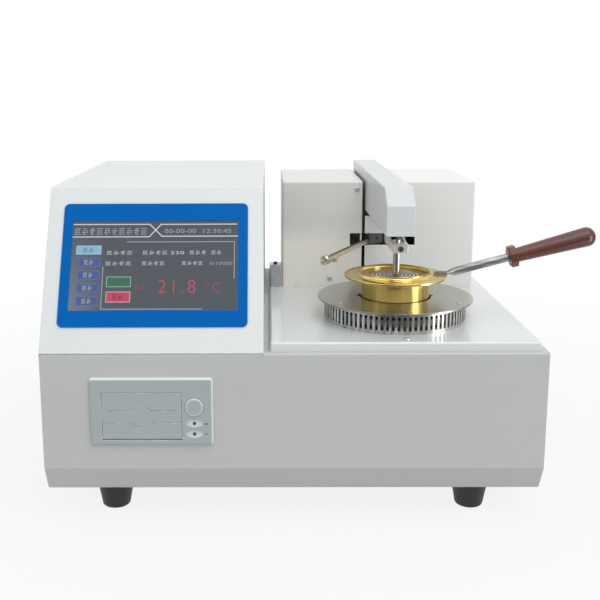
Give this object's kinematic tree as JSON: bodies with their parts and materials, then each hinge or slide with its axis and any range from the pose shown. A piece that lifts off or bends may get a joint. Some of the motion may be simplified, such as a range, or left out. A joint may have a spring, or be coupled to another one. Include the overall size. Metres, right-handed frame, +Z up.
{
  "type": "open-cup flash point tester",
  "caption": "Bench flash point tester with a touch-screen console, panel printer, slotted heater ring with a handled brass cup, a lifting probe arm and a swinging igniter arm.",
  "frame": {"origin": "on the bench, under the centre of the cabinet's footprint", "axes": "+X to the right of the operator (deck and cup side), +Y to the back, +Z up"},
  "size_m": [0.5251, 0.4024, 0.3022],
  "materials": {
    "body_paint": "satin powder coat, light grey",
    "cover_paint": "satin powder coat, white",
    "zinc_steel": "zinc plated",
    "stainless": "satin stainless",
    "polished_steel": "polished",
    "brass": "polished",
    "aluminium": "machined",
    "black_anodised": "dark anodised",
    "steel": "turned",
    "bronze": "sintered bronze",
    "insulation": "hard calcium silicate board",
    "grip_plastic": "moulded brown",
    "printer_plastic": "moulded grey",
    "black_plastic": "moulded black",
    "overlay": "printed blue film",
    "screen": "display glass, lit",
    "lamp": "tinted lens",
    "board": "circuit board",
    "rubber": "moulded rubber",
    "paper": "thermal paper"
  },
  "bodies": {
    "cabinet": {"base_tray": "body_paint", "console_cover": "cover_paint", "console_inner_wall": "cover_paint", "deck_pan": "cover_paint", "display_board": "board", "fan_frame": "black_plastic", "foot_screws": "zinc_steel", "front_panel": "body_paint", "gas_spigot": "polished_steel", "guard_ring": "stainless", "head_cover_left": "cover_paint", "head_cover_right": "cover_paint", "head_frame": "zinc_steel", "heating_element": "stainless", "hot_plate": "aluminium", "igniter_motor": "black_anodised", "insulation_ring": "insulation", "left_side_panel": "body_paint", "lift_motor": "black_anodised", "main_board": "board", "mains_inlet": "black_plastic", "pivot_bushes": "bronze", "plate_posts": "zinc_steel", "power_supply": "zinc_steel", "print_head": "black_plastic", "printer_case": "printer_plastic", "rear_panel": "body_paint", "right_side_panel": "body_paint", "round_cover": "stainless", "rubber_feet": "rubber", "screen_bezel": "overlay", "small_screws": "zinc_steel", "status_lamps": "lamp", "switch_case": "black_plastic", "touch_screen": "screen", "valve_block": "aluminium"},
    "lift_arm": {"arm_cover": "cover_paint", "arm_frame": "aluminium", "pivot_shaft": "steel", "lift_gear": "steel", "probe_yoke": "polished_steel", "temperature_probe": "polished_steel", "clamp_screw": "black_anodised"},
    "pinion": {"lift_pinion": "steel"},
    "igniter": {"igniter_hub": "black_anodised", "igniter_shaft": "steel", "igniter_tube": "polished_steel", "tube_nut": "brass", "igniter_head": "polished_steel"},
    "cup": {"test_cup": "brass", "handle_shank": "polished_steel", "handle_rivets": "polished_steel", "handle_grip": "grip_plastic"},
    "printer_door": {"printer_door": "printer_plastic"},
    "feed_button": {"feed_button": "printer_plastic"},
    "platen": {"platen_roller": "rubber"},
    "paper_roll": {"paper_roll": "paper"},
    "fan": {"fan_rotor": "black_plastic"},
    "rocker": {"switch_rocker": "black_plastic"},
    "valve_knob": {"valve_knob": "black_anodised"}
  },
  "joints": [
    {"name": "arm_lift", "type": "hinge", "parent": "cabinet", "child": "lift_arm", "pos_m": [0.1, 0.1615, 0.2737], "axis": [-1, 0, 0], "range_deg": [0, 50]},
    {"name": "pinion_spin", "type": "hinge", "parent": "cabinet", "child": "pinion", "pos_m": [0.125, 0.13873, 0.25093], "axis": [-1, 0, 0], "range_deg": [-150, 0]},
    {"name": "igniter_sweep", "type": "hinge", "parent": "cabinet", "child": "igniter", "pos_m": [0.1025, 0.0584, 0.2247], "axis": [0, 0, -1], "range_deg": [-38, 0]},
    {"name": "cup_lift", "type": "slide", "parent": "cabinet", "child": "cup", "axis": [0, 0, 1], "range_m": [0, 0.045]},
    {"name": "printer_door_hinge", "type": "hinge", "parent": "cabinet", "child": "printer_door", "pos_m": [-0.13675, -0.193, 0.0835], "axis": [1, 0, 0], "range_deg": [0, 90]},
    {"name": "feed_button_press", "type": "slide", "parent": "cabinet", "child": "feed_button", "axis": [0, 1, 0], "range_m": [0, 0.0012], "stiffness_N_per_m": 300},
    {"name": "platen_spin", "type": "hinge", "parent": "cabinet", "child": "platen", "pos_m": [-0.13675, -0.1835, 0.1192], "axis": [1, 0, 0], "continuous": true},
    {"name": "paper_roll_spin", "type": "hinge", "parent": "cabinet", "child": "paper_roll", "pos_m": [-0.13675, -0.1685, 0.102], "axis": [1, 0, 0], "continuous": true},
    {"name": "fan_spin", "type": "hinge", "parent": "cabinet", "child": "fan", "pos_m": [-0.166, 0.1805, 0.198], "axis": [0, 1, 0], "continuous": true},
    {"name": "rocker_tilt", "type": "hinge", "parent": "cabinet", "child": "rocker", "pos_m": [-0.134, 0.1865, 0.07], "axis": [-1, 0, 0], "range_deg": [0, 20]},
    {"name": "valve_turn", "type": "hinge", "parent": "cabinet", "child": "valve_knob", "pos_m": [-0.0145, 0.0497, 0.1977], "axis": [0, 0, 1], "range_deg": [0, 270]}
  ],
  "couplings": [
    {"joint": "pinion_spin", "follows": "arm_lift", "ratio": -3},
    {"joint": "cup_lift", "follows": "arm_lift", "m_per_rad": 0.05156},
    {"joint": "paper_roll_spin", "follows": "platen_spin", "ratio": 0.29412}
  ]
}
